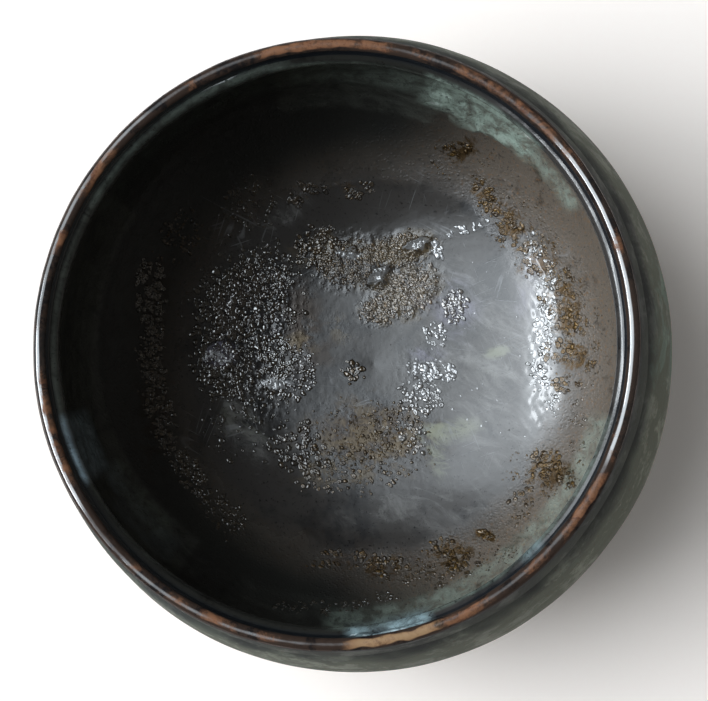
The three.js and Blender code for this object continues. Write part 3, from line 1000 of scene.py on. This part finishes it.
def makeBlisters(name, clusters, seed, material, drawnOut):
    rng = np.random.default_rng(seed)
    parts = [scatterCluster(rng, *cluster) for cluster in clusters]
    spots = {key: np.concatenate([part[key] for part in parts]) for key in parts[0]}
    if name in blister["gathered"]:
        spots["x"], spots["y"] = drawTogether(rng, spots["x"], spots["y"], blister["gathered"][name])
    length, bearing = insideAtPixels(np.stack([spots["x"], spots["y"]], 1))
    climbed = overLumps(onSection(length, bearing)) / blister["lumpHeight"]
    keep = climbed < rng.uniform(*blister["climb"], len(climbed))
    keep &= length < crestLength - blister["belowLip"]
    spots = {key: values[keep] for key, values in spots.items()}
    length, bearing = length[keep][:, None], bearing[keep][:, None]
    u, v, height, paintedRimShade = blisterGrid(rng, spots, bearing, drawnOut)
    wide = sectionAt(np.maximum(length + u, 0.05), "skin")[..., 0]
    lengths = np.maximum(length + u + np.hypot(wide, v) - wide, 0.05)
    bearings = bearing + np.arctan2(v, wide)
    base = onSection(lengths, bearings)
    lifted = reliefAt(base, lengths) + overLumps(base) + height
    points = base + facing(lengths, bearings) * lifted[..., None]
    fours, threes = blisterFaces(len(spots["x"]))
    piece = meshPiece(name, points.reshape(-1, 3), [fours], [threes])
    markInside(piece, base.reshape(-1, 3), lengths.ravel())
    edge = np.clip(1 - paintedRimShade * 1.2, 0, 1)
    for key in ("amber", "glassy", "milkyAndPaintedGlint", "tone"):
        addMark(piece, key, (spots[key][:, None] * edge).ravel())
    addMark(piece, "paintedRimShade", paintedRimShade.ravel())
    finishPiece(piece, material, sharpAngle=0)


for seed, (name, clusters) in enumerate(blisterClusters.items(), 100):
    slot, drawnOut = (("fused_grit", "gravelDrawnOut") if name == "pool_gravel" else
                      ("iron_glaze", "drawnOut"))
    makeBlisters(name, clusters, seed, insideMaterial, blister[drawnOut])
print("blisters made")

# Glaze runs and lumps: patches that melt into the surface at their edge

patchDepth = 0.2


def patchRings(place, half, edge, height, rings):
    # place turns a patch's own two directions into a distance along the section and a bearing
    turn = evenTurns(len(edge))

    def spots(share, sunk=False):
        a, b = half[0] * edge * share * np.cos(turn), half[1] * edge * share * np.sin(turn)
        lengths, bearings = place(a, b)
        base = onSection(lengths, bearings)
        raised = reliefAt(base, lengths) + (-patchDepth if sunk else height(share, turn, base))
        return base + facing(lengths, bearings) * raised[:, None]

    made = [spots(0)[:1]] + [spots(share) for share in np.linspace(0, 1, rings + 1)[1:]]
    return made + [spots(share, True) for share in (0.98, 0.75, 0.5, 0.25)] + [spots(0, True)[:1]]


ashRuns = {
    "ash_run_right": {"bearing": 62, "height": 33.5, "half": (13.4, 5.6), "rise": 0.42, "colour": "teal",
                      "seed": 201},
    "ash_run_left": {"bearing": 198, "height": 42, "half": (7.6, 6), "rise": 0.4, "colour": "slate",
                     "seed": 211},
    "ash_run_near": {"bearing": 282, "drop": 2.6, "half": (8.4, 1.05), "rise": 0.32, "colour": "sky",
                     "seed": 221},
}


def makeAshRun(name, run, material):
    if "drop" in run:
        length = crestLength - run["drop"]
    else:
        length = float(np.interp(run["height"], insideSkin[:, 1], insideLengths))
    bearing, seed = math.radians(run["bearing"]), run["seed"]
    middle = onSection(np.array([length]), np.array([bearing]))[0]
    radius = float(sectionAt(length, "skin")[0])

    def place(a, b):
        return length + b, bearing - a / radius

    def height(share, turn, points):
        swell = run["rise"] * ramp(1 - share ** 2, 0, 0.5) * (1 + 0.25 * smoothWaves(points, 4, seed + 2))
        return swell - 0.03 + 0.02 * smoothWaves(points, 1.4, seed + 3) * (share < 0.9)

    edge = unevenEdge(evenTurns(192), seed, 0.10, 0.04)
    piece = ringMesh(name + "_glaze", patchRings(place, run["half"], edge, height, 22))
    points, _ = markInside(piece)
    off = points - middle
    reach = np.hypot(np.hypot(off[:, 0], off[:, 1]) / run["half"][0], off[:, 2] / run["half"][1])
    coloured = np.maximum(maskAt(points, run["colour"]), 0.85 * np.clip(1.9 * (1 - reach), 0, 1))
    piece.data.attributes[run["colour"]].data.foreach_set("value", coloured.astype(np.float32))
    finishPiece(piece, material, [name])


def makeLump(name, lump, material):
    c, s = cosSin(lump["turn"])

    def place(a, b):
        x, y = lump["x"] + a * c - b * s, lump["y"] + a * s + b * c
        return lengthAtRadius(np.hypot(x, y)), np.arctan2(y, x)

    def height(share, turn, points):
        return lumpRise(lump, points, share, turn)

    edge = lumpEdge(lump, evenTurns(160))
    piece = ringMesh(name + "_crust", patchRings(place, lump["half"], edge, height, 30))
    points, lengths = markInside(piece)
    high = points[:, 2] - sectionAt(lengths, "skin")[:, 1]
    addMark(piece, "glassy", ramp(high + 0.16 * smoothWaves(points, 2.6, lump["seed"] + 5), 0.7, 1.15))
    # a lighter crest: painted highlight
    addMark(piece, "milkyAndPaintedGlint", 0.3 * ramp(high, 0.3, 0.9))
    finishPiece(piece, material, [name], sharpAngle=0)


for name, run in ashRuns.items():
    makeAshRun(name, run, insideMaterial)
for name, lump in lumps.items():
    makeLump(name, lump, insideMaterial)
print("runs and lumps made")

# The lip

lipGlaze = {
    "dark": (0.012, 0.010, 0.010),
    "darkPatch": (0.040, 0.026, 0.020),
    "copper": (0.112, 0.046, 0.025),
    "copperPatch": (0.21, 0.098, 0.052),
    "gold": (0.31, 0.195, 0.105),
    "roughness": (0.12, 0.30),
    "copperRoughness": 0.5,
    "around": 1536,  # points round a ring
}

# Where the lip breaks to copper or gold and where it is polished, by the photograph's bearing: from,
# to, strength.
lipStretches = {
    "copper": [(18, 22, 0.5), (38, 66, 0.55), (73, 75, 0.7), (80, 104, 0.85), (118, 120, 0.6),
               (138, 150, 0.75), (157.5, 161.5, 0.9), (186, 209, 0.7), (238, 240, 0.7),
               (244, 249, 0.8), (255, 258, 0.9), (273, 290, 1), (290, 300, 0.8), (310, 316, 0.5),
               (320, 335, 0.75), (336, 341, 0.4), (225, 231, 0.3)],
    "golden": [(273.5, 289, 1)],
    "polish": [(-22, 42, 1), (177, 212, 1), (130, 177, 0.35), (226, 262, 0.3)],
}


def makeLipMaterial():
    material, glaze = newMaterial("lip glaze"), lipGlaze
    dark = mottled(200, 0.5, glaze["dark"], glaze["darkPatch"])["Colour"]
    copper = mottled(420, 0.55, glaze["copper"], glaze["copperPatch"])["Colour"]
    ragged = noise(260, 7, 0.75, 0.4)
    share = remap(mark("copper") + (ragged - 0.5) * 3, 0.2, 1) * mark("thin") * remap(mark("copper"), 0, 0.3)
    gilded = mark("golden") * mark("thin") * remap(ragged, 0.3, 0.55)
    rough = mixNumbers(share, mixNumbers(ragged, *glaze["roughness"]), glaze["copperRoughness"])
    return shade(material, {
        "Base Color": layered(dark, (share, copper), (gilded, glaze["gold"])),
        "Roughness": rough,
        "Coat Weight": (1 - share) * mark("polish"),
        "Normal": pitted(900, 0.35, 0.3, 0.0002, bump(noise(420, 3), 0.35, 0.0005)),
        "Coat Roughness": 0.06,
        "Coat IOR": 2,
        "Specular IOR Level": 0.1,
    })


def makeLip(material):
    top, around = ringLengths(insideEnd, outsideStart, spacing["lip"]), lipGlaze["around"]
    under = np.linspace(outsideStart, insideEnd, 7)
    rings = [glazedRing(length, around) for length in top]
    rings += underCoat(outsideStart, insideEnd, [around] * len(under))
    piece = ringMesh("lip_glaze_band", rings, True)
    across = np.repeat(np.concatenate([top, under]) - crestLength, around)
    points = pointsOf(piece)
    bearing, _ = bearingAt(pixelsOf(points))

    def stretches(name):
        return np.maximum.reduce([
            strength * np.clip(((high - low) / 2 - degreesOff(bearing, (low + high) / 2)) / 4 + 0.6, 0, 1)
            for low, high, strength in lipStretches[name]])

    addMark(piece, "copper", 0.08 + 0.85 * stretches("copper"))
    addMark(piece, "golden", stretches("golden"))
    addMark(piece, "polish", (0.12 + 0.88 * stretches("polish")) * ramp(1.45 - np.abs(across), 0, 0.4))
    middle = -0.55 * np.clip(np.cos(np.radians(bearing - 185)), 0, 1)
    addMark(piece, "thin", ramp(1 - np.abs(across - middle) + 0.14 * smoothWaves(points, 4, 51), 0, 0.35))
    finishPiece(piece, material, ["lip_glaze"])


makeLip(makeLipMaterial())
print("lip made")

# The outside glaze

outsideGlaze = {
    "ground": (0.118, 0.128, 0.100),
    "patch": (0.200, 0.218, 0.168),
    "cloud": (0.152, 0.165, 0.130),
    "streak": (0.065, 0.060, 0.050),
    "teal": (0.160, 0.225, 0.185),
    "brown": (0.125, 0.075, 0.045),
    # painted shade under the lip
    "upper": (0.022, 0.023, 0.026),
    "edge": (0.16, 0.085, 0.04),
    "roughness": (0.6, 0.8),
    "bead": 0.22,  # the glaze that gathered at its lower end
    "beadWidth": 1.1,
    "wavyPart": 14,  # how far above that end its rings begin to follow the wavy line
    # where it turns teal, in the photograph: middle x and y, half width and height, turn, strength
    "tealMarks": [(666, 330, 22, 84, 0, 0.8), (600, 545, 60, 20, 40, 0.35), (400, 655, 50, 10, 0, 0.3)],
}


def makeOutsideMaterial():
    material, glaze = newMaterial("outside glaze"), outsideGlaze
    cloudy = mottled(45, 0.5, glaze["patch"], glaze["cloud"])
    base = mottled(120, 0.5, cloudy["Colour"], glaze["ground"])
    fineStreaks, broadStreaks = useGroup(streaks, Scale=420), useGroup(streaks, Scale=130)
    washed = remap(mark("teal") + (noise(110, 7, 0.68, 0.8) - 0.5) * 2.6, 0.3, 0.8)
    washed = washed * remap(mark("teal"), 0, 0.35)
    specks = remap(noise(1300, 3, 0.6), 0.6, 0.68)
    return shade(material, {
        "Base Color": layered(
            base["Colour"], (fineStreaks["Mask"] * 0.12, glaze["streak"]),
            (broadStreaks["Mask"] * 0.1, glaze["teal"]), (washed * 0.8, glaze["teal"]),
            # painted shade under the lip
            (specks * 0.5, glaze["brown"]), (mark("upper"), glaze["upper"]), (mark("edge"), glaze["edge"])),
        "Roughness": mixNumbers(base["Mask"], *glaze["roughness"]),
        "Normal": pitted(800, 0.45, 0.35, 0.0002, bump(fineStreaks["Height"], 0.1, 0.0004)),
        "Specular IOR Level": 0.12,
    })


def glazeEnd(bearing):
    # the wavy line where the outer glaze stops
    spot = np.stack([np.cos(bearing), np.sin(bearing), 0 * bearing], -1) * 45
    wave = 0.55 * smoothWaves(spot, 42, 61) + 0.3 * smoothWaves(spot, 13, 62)
    return lengthAtHeight(form["glazeLine"] + np.clip(wave, -1.2, 1.6) * 0.9)


def endHeight(points, kind):
    # how high the outer glaze stops at the bearing of each point
    return sectionAt(glazeEnd(np.arctan2(points[:, 1], points[:, 0])), kind)[..., 1]


def makeOutside(material):
    bearing = evenTurns(fullRound)
    end = glazeEnd(bearing)
    middle = float(end.min() - outsideGlaze["wavyPart"])

    def ring(share, sunk=False):
        # shares up to 1 are level, and from there to 2 they bend to the wavy end
        level = outsideStart + share * (middle - outsideStart)
        lengths = np.full(fullRound, level) if share <= 1 else middle + (share - 1) * (end - middle)
        points = onSection(lengths, bearing)
        bead = outsideGlaze["bead"] * np.exp(-((end - lengths) / outsideGlaze["beadWidth"]) ** 2)
        bead = bead - form["coat"] * np.clip(1 - (end - lengths) / 0.3, 0, 1)
        raised = np.full(fullRound, -form["coat"]) if sunk else reliefAt(points, lengths) + bead
        return points + facing(lengths, bearing) * raised[:, None]

    upper = np.linspace(0, 1, round((middle - outsideStart) / spacing["outside"]) + 1)
    lower = 2 - (1 - np.linspace(0, 1, 26)[1:]) ** 1.3
    rings = [ring(share) for share in np.concatenate([upper, lower])]
    rings += [ring(share, True) for share in (2, 1.7, 1.3, 1, 0.8, 0.6, 0.4, 0.2, 0)]
    piece = ringMesh("outer_glaze_coat", rings, True)
    points = pointsOf(piece)
    pixels = pixelsOf(points)
    teal = np.maximum.reduce([ovalMask(pixels, *row) for row in outsideGlaze["tealMarks"]])
    addMark(piece, "teal", 0.6 * teal * (points[:, 2] > 30))
    # painted shade under the lip, darker towards the top of the outer wall
    high = points[:, 2] + 0.9 * smoothWaves(points, 12, 63) + 0.4 * smoothWaves(points, 4, 64)
    addMark(piece, "upper", 0.85 * ramp(high, 57.5, 66))
    addMark(piece, "edge", 0.8 * ramp(endHeight(points, "skin") + 1.1 - points[:, 2], 0, 0.9))
    finishPiece(piece, material, ["outer_glaze"])


makeOutside(makeOutsideMaterial())
print("outside glaze made")

# Bare clay: the body under the glaze, and the foot

clay = {
    "ground": (0.20, 0.125, 0.08),
    "patch": (0.30, 0.20, 0.135),
    "scorch": (0.16, 0.07, 0.035),
    "iron": (0.03, 0.018, 0.012),
    "pale": (0.42, 0.33, 0.25),
    "roughness": (0.75, 0.92),
    "bareFrom": 17,  # the height below which its surface is finely made
    "groovePitch": 2.3,
    "spiralPitch": 2.6,  # of the tool's turns in the foot's hollow
    "scorchWidth": 2.2,  # below the glaze
}
foot = {"inner": 20.9, "outerBottom": 25.5, "outerTop": 26.5, "height": 6, "chamfer": 0.9, "ringPitch": 1.3}


def makeClayMaterial():
    material = newMaterial("bare clay")
    base = mottled(70, 0.5, clay["ground"], clay["patch"])["Colour"]
    wheel = useGroup(streaks, Scale=520)
    grit = noise(1400, 4, 0.7)
    scored = bump(wheel["Height"], 0.35, 0.0005, bump(grit, 0.5, 0.0003))
    return shade(material, {
        "Base Color": layered(
            base, (wheel["Mask"] * 0.25, clay["pale"]), (mark("scorch"), clay["scorch"]),
            (remap(grit, 0.62, 0.7), clay["iron"]), (remap(grit, 0.36, 0.28, 0, 0.7), clay["pale"])),
        "Roughness": mixNumbers(grit, *clay["roughness"]),
        "Normal": pitted(1000, 0.7, 0.4, 0.0003, scored),
    })


def sandRelief(points, seed):
    return 0.05 * smoothWaves(points, 14, seed) + 0.02 * smoothWaves(points, 2.2, seed + 1, 20)


def flatRing(radius, height, count):
    return turned(np.full((count, 2), (float(radius), float(height))), evenTurns(count))


def makeClayBody(material):
    bare, bottom = float(lengthAtHeight(clay["bareFrom"])), section["length"][-1]
    rings = [np.array([[0, 0, section["clay"][0, 1]]])]
    rings += [plainRing(length, 96, kind="clay") for length in np.linspace(4, bare - 6, 70)]
    rings += [plainRing(bare - 4, 192, kind="clay"), plainRing(bare - 2, 384, kind="clay")]
    for length in ringLengths(bare, bottom, spacing["clay"]):
        ring = plainRing(length, fullRound, kind="clay")
        out = facing(np.full(fullRound, length), evenTurns(fullRound))
        grooves = 0.06 * np.sin(length * 2 * math.pi / clay["groovePitch"] + smoothWaves(ring, 50, 71))
        fade = float(ramp(bottom - length, 0.5, 3))
        rings.append(ring + out * ((sandRelief(ring, 72) + grooves) * fade)[:, None])
    around = np.arange(384) / 384
    for wide in np.arange(np.hypot(*rings[-1][0, :2]) - 0.5, 1.2, -spacing["hollow"]):
        ring = flatRing(wide, foot["height"], 384)
        if wide < foot["inner"] - 0.5:  # turned out with a tool: a spiral round a small point
            spiral = 0.12 * np.sin((wide / clay["spiralPitch"] + around) * 2 * math.pi)
            deep = float(ramp(foot["inner"] - 0.5 - wide, 0, 1.5))
            ring[:, 2] += (0.3 + spiral + sandRelief(ring, 75)) * deep - 0.35 * math.exp(-(wide / 3.2) ** 2)
        rings.append(ring)
    for shrink in (0.75, 0.6, 0.5):
        ring = rings[-1][::2] * [shrink, shrink, 1]
        ring[:, 2] = ring[:, 2] * 0.6 + ring[:, 2].mean() * 0.4
        rings.append(ring)
    rings.append(rings[-1].mean(0, keepdims=True))
    piece = ringMesh("clay_body_turned", rings)
    points = pointsOf(piece)
    high = points[:, 2] + 0.5 * smoothWaves(points, 8, 76) - endHeight(points, "clay")
    addMark(piece, "scorch", 0.85 * ramp(high + clay["scorchWidth"], 0, clay["scorchWidth"]))
    finishPiece(piece, material, ["clay_body"])


def makeFoot(material):
    chamfer = foot["chamfer"]
    corners = np.array([(foot["outerTop"], foot["height"]), (foot["outerBottom"], chamfer),
                        (foot["outerBottom"] - chamfer, 0), (foot["inner"] + chamfer, 0),
                        (foot["inner"], chamfer), (foot["inner"], foot["height"])], float)
    line = []
    for a, b in zip(corners, corners[1:]):
        steps = max(2, round(np.linalg.norm(b - a) / spacing["foot"]))
        line += [a + (b - a) * t for t in np.linspace(0, 1, steps, endpoint=False)]
    line = np.array(line + [corners[-1]])
    for _ in range(3):  # worn corners
        line[1:-1] = line[1:-1] * 0.5 + (line[:-2] + line[2:]) * 0.25
    rings = []
    for radius, height in line:
        ring = flatRing(radius, height, fullRound)
        side = 1 if radius > (foot["inner"] + foot["outerBottom"]) / 2 else -1
        rough = sandRelief(ring, 81)
        rough += 0.04 * np.sin(height * 2 * math.pi / foot["ringPitch"] + smoothWaves(ring, 40, 83))
        level = max(0, 1 - height / 0.5)
        push = side * np.minimum(rough, 0.12) * float(ramp(foot["height"] - height, 0, 0.6)) * (1 - level)
        ring[:, :2] *= (1 + push / radius)[:, None]
        ring[:, 2] += level * np.abs(sandRelief(ring, 85)) * 0.8
        rings.append(ring)
    lowest = min(ring[:, 2].min() for ring in rings)
    for ring in rings:
        ring[:, 2] -= lowest * np.clip(1 - ring[:, 2] / foot["height"], 0, 1)
    rings += [flatRing(radius, foot["height"], fullRound)
              for radius in np.linspace(foot["inner"], foot["outerTop"], 5)[1:-1]]
    piece = ringMesh("foot_ring_turned", rings, True)
    addMark(piece, "scorch", 0.25 * ramp(smoothWaves(pointsOf(piece), 30, 86), 0.2, 1.2))
    finishPiece(piece, material, ["foot_ring"])


clayMaterial = makeClayMaterial()
makeClayBody(clayMaterial)
makeFoot(clayMaterial)
print("clay made")

# Lights, floor and camera

scene = bpy.context.scene
studio = {
    "windowBearing": 187, "windowElevation": 44, "windowDistance": 1.6, "windowSize": (1.05, 0.15),
    "windowPower": 9.5, "windowColour": (0.90, 0.95, 1),
    "skyBearing": 170, "skyElevation": 56, "skyFull": 9, "skyEdge": 35,  # degrees from its middle
    "sky": (5.2, 5.7, 6.1), "ambient": (0.055, 0.053, 0.050), "backdrop": (0.93, 0.93, 0.93),
    "floor": (0.96, 0.865, 0.80), "floorGrain": (0.89, 0.80, 0.74), "floorHalf": 1500, "floorDrop": 0.1,
    "floorGlow": 0.1,
}


def makeWindow():
    lamp = bpy.data.lights.new("window", "AREA")
    lamp.shape = "RECTANGLE"
    lamp.size, lamp.size_y = studio["windowSize"]
    lamp.energy = studio["windowPower"]
    lamp.color = studio["windowColour"]
    panel = bpy.data.objects.new("window", lamp)
    way = wayTo(studio["windowBearing"], studio["windowElevation"])
    panel.location = way * studio["windowDistance"] + Vector((0, 0, 0.03))
    panel.rotation_euler = way.to_track_quat("Z", "Y").to_euler()
    panel.visible_camera = False
    scene.collection.objects.link(panel)


def makeRoom():
    world = bpy.data.worlds.new("room")
    world.use_nodes = True
    making["tree"] = world.node_tree
    way = addNode("TexCoord", output="Generated")
    toSky = addNode("VectorMath", {0: way, 1: wayTo(studio["skyBearing"], studio["skyElevation"])}, "Value",
                    operation="DOT_PRODUCT")
    edge, full = (math.cos(math.radians(studio[key])) for key in ("skyEdge", "skyFull"))
    seen = addNode("LightPath", output="Is Camera Ray")
    light = layered(studio["ambient"], (remap(toSky, edge, full), studio["sky"]), (seen, studio["backdrop"]))
    feed(world.node_tree.nodes["Background"].inputs["Color"], light)
    scene.world = world


def makeStudioFloor():
    material = shade(newMaterial("studio floor"), {
        "Base Color": mixColours(noise(700, 2) * 0.3, studio["floor"], studio["floorGrain"]),
        "Emission Color": (1, 1, 1),
        "Emission Strength": studio["floorGlow"],
        "Roughness": 0.9,
        "Specular IOR Level": 0.1,
    })
    half = studio["floorHalf"]
    corners = np.array([(x, y, -studio["floorDrop"]) for x, y in
                        ((-half, -half), (half, -half), (half, half), (-half, half))])
    ground = meshPiece("studio_floor", corners, [np.array([[0, 1, 2, 3]])], [])
    ground.data.materials.append(material)


def makeCamera():
    lens = bpy.data.cameras.new("photograph")
    lens.sensor_width = view["sensor"]
    lens.lens = focalPixels * view["sensor"] / view["width"]
    lens.clip_start = 0.01
    camera = bpy.data.objects.new("photograph", lens)
    camera.rotation_mode = "QUATERNION"
    camera.rotation_quaternion = cameraSpin
    camera.location = eye * mm
    scene.collection.objects.link(camera)
    scene.camera = camera
    scene.view_settings.view_transform = "Standard"


makeWindow()
makeRoom()
makeStudioFloor()
makeCamera()
print("studio ready")
